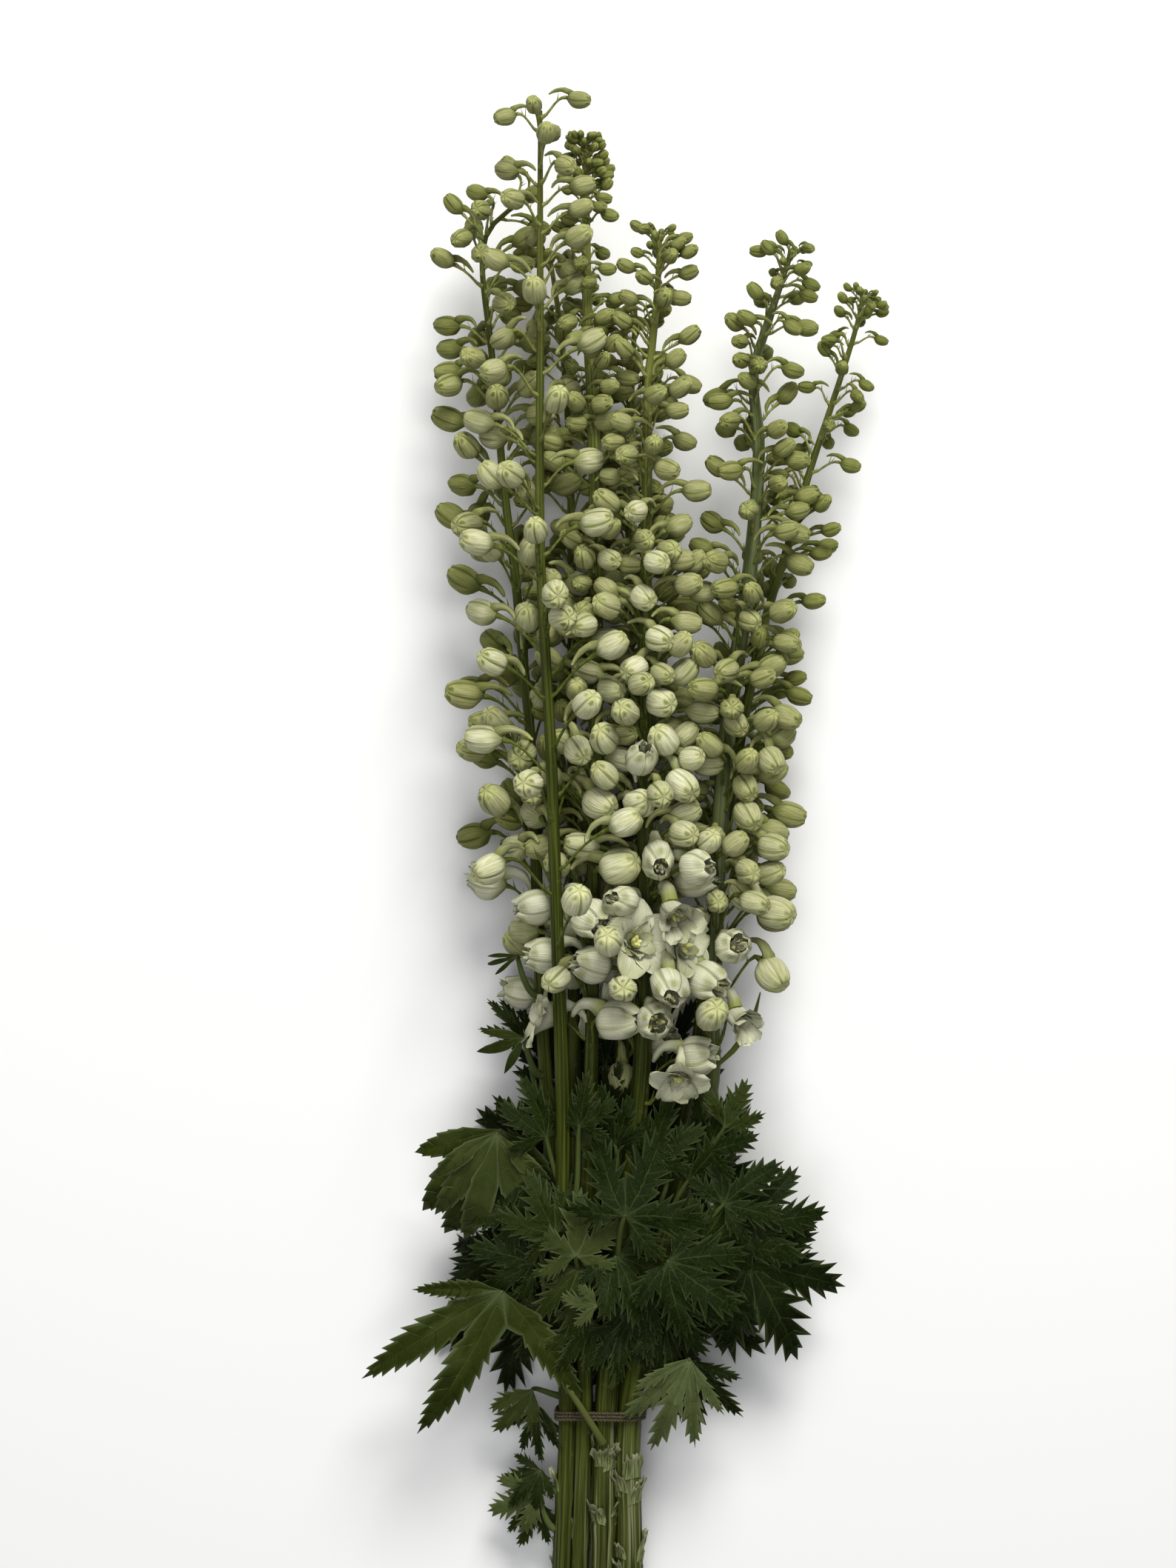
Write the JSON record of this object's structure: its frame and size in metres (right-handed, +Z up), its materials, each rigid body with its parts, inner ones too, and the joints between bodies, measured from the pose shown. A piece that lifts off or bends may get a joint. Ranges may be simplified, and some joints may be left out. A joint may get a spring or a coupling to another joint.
{
  "type": "tied bunch of delphinium flower spikes",
  "caption": "Hand-tied bunch of cut white delphinium spikes, mostly in bud, with palmate leaves and a twine tie, lying down.",
  "frame": {"origin": "on the surface that the bunch lies on, under the middle of its bounding box", "axes": "+Y along the stems from the cut ends to the tips, +Z up from the surface, +X to the right seen from above"},
  "size_m": [0.3276, 0.9874, 0.1664],
  "materials": {
    "stem_and_buds": "satin",
    "floret": "matt",
    "leaf": "matt",
    "twine": "matt"
  },
  "bodies": {
    "root": {"floret_2_1": "floret", "floret_3_1": "floret", "floret_3_2": "floret", "floret_3_3": "floret", "floret_3_4": "floret", "floret_3_5": "floret", "floret_4_1": "floret", "floret_4_2": "floret", "floret_4_3": "floret", "floret_4_4": "floret", "floret_4_5": "floret", "floret_4_6": "floret", "floret_4_7": "floret", "floret_4_8": "floret", "floret_4_9": "floret", "floret_5_1": "floret", "floret_7_1": "floret", "floret_7_2": "floret", "floret_7_3": "floret", "floret_8_1": "floret", "floret_8_2": "floret", "floret_8_3": "floret", "floret_8_4": "floret", "floret_8_5": "floret", "leaf_butt_left": "leaf", "leaf_centre": "leaf", "leaf_centre_curled": "leaf", "leaf_centre_low": "leaf", "leaf_centre_olive": "leaf", "leaf_centre_upright": "leaf", "leaf_left_drooping": "leaf", "leaf_left_large": "leaf", "leaf_left_narrow_high": "leaf", "leaf_left_narrow_low": "leaf", "leaf_left_side": "leaf", "leaf_right_dark": "leaf", "leaf_right_grey": "leaf", "leaf_right_high": "leaf", "leaf_right_inner": "leaf", "leaf_right_outer": "leaf", "leaf_right_small": "leaf", "leaf_right_tip": "leaf", "leaf_right_upper": "leaf", "leaf_tie_left": "leaf", "leaf_under_left": "leaf", "leaf_under_left_high": "leaf", "leaf_under_low": "leaf", "leaf_under_middle": "leaf", "leaf_under_right": "leaf", "leaf_under_right_high": "leaf", "spike_1": "stem_and_buds", "spike_2": "stem_and_buds", "spike_3": "stem_and_buds", "spike_4": "stem_and_buds", "spike_5": "stem_and_buds", "spike_6": "stem_and_buds", "spike_7": "stem_and_buds", "spike_8": "stem_and_buds", "tie": "twine"}
  },
  "joints": []
}
